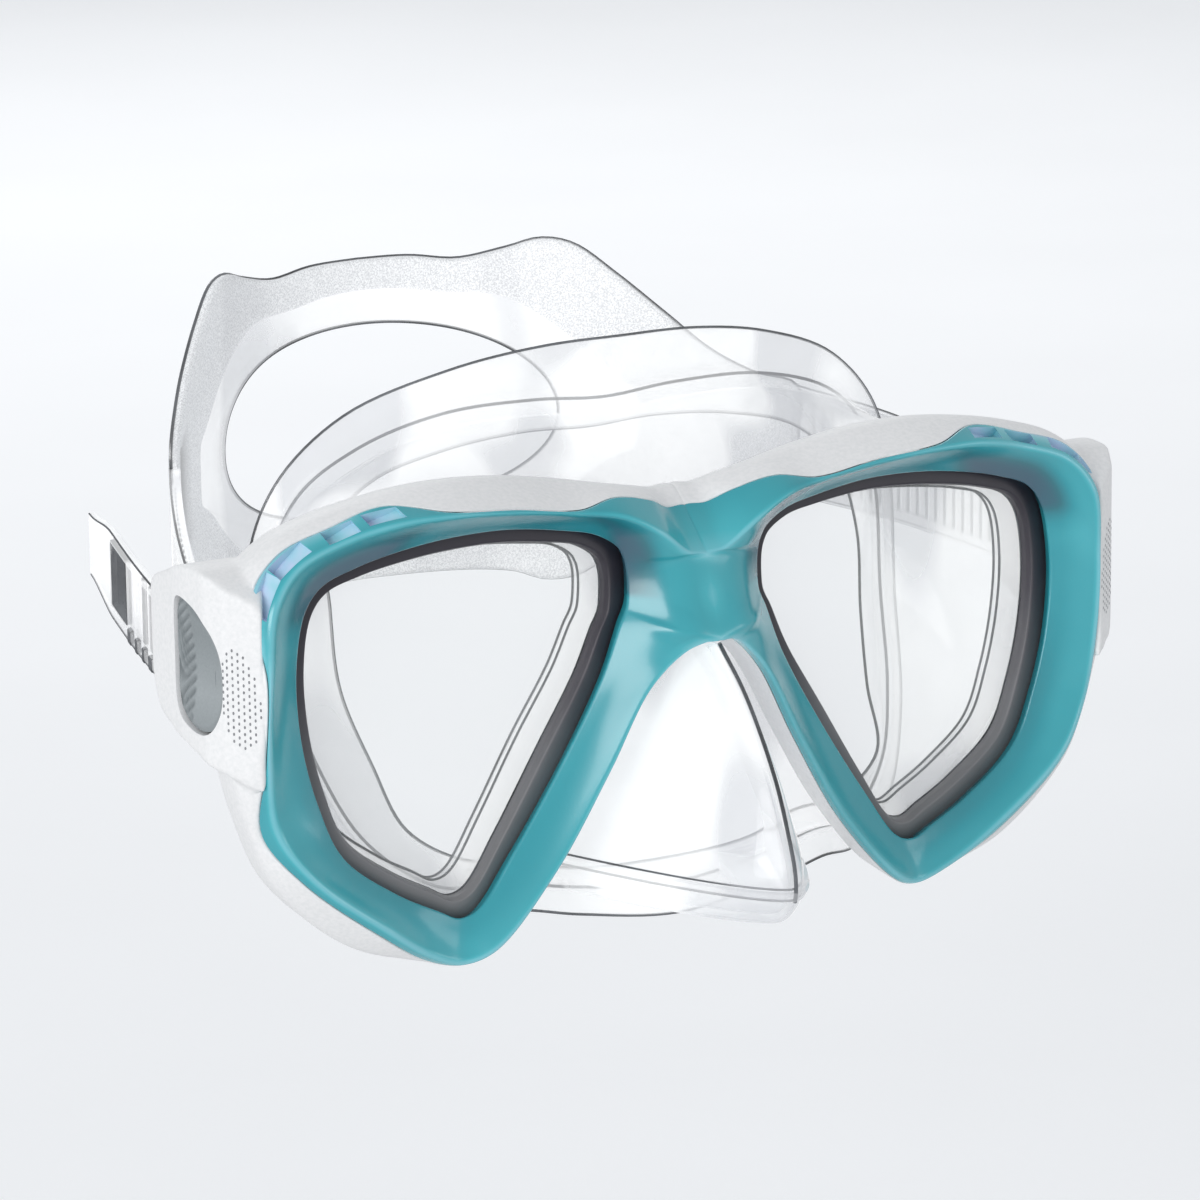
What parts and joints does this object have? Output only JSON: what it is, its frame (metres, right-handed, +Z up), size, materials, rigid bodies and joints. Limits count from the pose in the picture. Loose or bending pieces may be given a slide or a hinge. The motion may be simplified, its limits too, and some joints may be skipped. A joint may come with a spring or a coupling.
{
  "type": "diving mask",
  "caption": "Low-volume twin-lens diving mask with framed teardrop lenses, soft face skirt, nose pocket and a split strap in push-button buckles.",
  "frame": {"origin": "middle plane of the mask, in the plane of the two lens openings, a little below the middle of the lenses: the mount 'face'", "axes": "+Z up as worn, -Y the way the wearer looks, +X towards the wearer's left"},
  "size_m": [0.1862, 0.1466, 0.0981],
  "materials": {
    "teal_frame": "translucent moulded polycarbonate, gloss",
    "white_frame": "fine-grained moulded plastic, matte",
    "grey_button": "satin moulded plastic, ribbed where the finger presses",
    "dark_seal": "smooth elastomer",
    "dark_plastic": "smooth acetal",
    "clear_silicone": "clear liquid silicone, glossy with matte bands",
    "glass": "flat tempered glass",
    "steel": "stainless"
  },
  "bodies": {
    "frame": {"front_frame": "teal_frame", "rear_frame": "white_frame", "skirt": "clear_silicone", "lens_l": "glass", "lens_r": "glass", "lens_seal_l": "dark_seal", "lens_seal_r": "dark_seal", "buckle_cover_l": "white_frame", "buckle_cover_r": "white_frame", "button_pin_l": "steel", "button_pin_r": "steel", "pawl_spring_l": "steel", "pawl_spring_r": "steel", "roller_pin_l": "steel", "roller_pin_r": "steel", "strap_wrap_l": "clear_silicone", "strap_wrap_r": "clear_silicone", "strap_run_l": "clear_silicone", "strap_run_r": "clear_silicone"},
    "strap_back": {"strap_back": "clear_silicone"},
    "tail_l": {"strap_tail_l": "clear_silicone"},
    "tail_r": {"strap_tail_r": "clear_silicone"},
    "roller_l": {"roller_l": "dark_plastic"},
    "roller_r": {"roller_r": "dark_plastic"},
    "button_l": {"button_l": "grey_button", "pawl_l": "grey_button"},
    "button_r": {"button_r": "grey_button", "pawl_r": "grey_button"}
  },
  "joints": [
    {"name": "strap_adjust", "type": "slide", "parent": "frame", "child": "strap_back", "axis": [0, 1, 0], "range_m": [-0.01, 0], "deforming": ["strap_run_l", "strap_run_r"]},
    {"name": "tail_feed_l", "type": "slide", "parent": "frame", "child": "tail_l", "axis": [0, 1, 0], "range_m": [0, 0.01]},
    {"name": "tail_feed_r", "type": "slide", "parent": "frame", "child": "tail_r", "axis": [0, 1, 0], "range_m": [0, 0.01]},
    {"name": "roller_turn_l", "type": "hinge", "parent": "frame", "child": "roller_l", "pos_m": [0.0825, 0.0165, 0.01945], "axis": [0, 0, 1], "range_deg": [0, 245]},
    {"name": "roller_turn_r", "type": "hinge", "parent": "frame", "child": "roller_r", "pos_m": [-0.0825, 0.0165, 0.01945], "axis": [0, 0, -1], "range_deg": [0, 245]},
    {"name": "button_press_l", "type": "hinge", "parent": "frame", "child": "button_l", "pos_m": [0.085, 0.006, 0.018], "axis": [0, 0, 1], "range_deg": [0, 6], "stiffness_Nm_per_rad": 0.3},
    {"name": "button_press_r", "type": "hinge", "parent": "frame", "child": "button_r", "pos_m": [-0.085, 0.006, 0.018], "axis": [0, 0, -1], "range_deg": [0, 6], "stiffness_Nm_per_rad": 0.3}
  ],
  "couplings": [
    {"joint": "tail_feed_l", "follows": "strap_adjust", "ratio": -1},
    {"joint": "tail_feed_r", "follows": "strap_adjust", "ratio": -1},
    {"joint": "roller_turn_l", "follows": "strap_adjust", "rad_per_m": -425},
    {"joint": "roller_turn_r", "follows": "strap_adjust", "rad_per_m": -425}
  ]
}
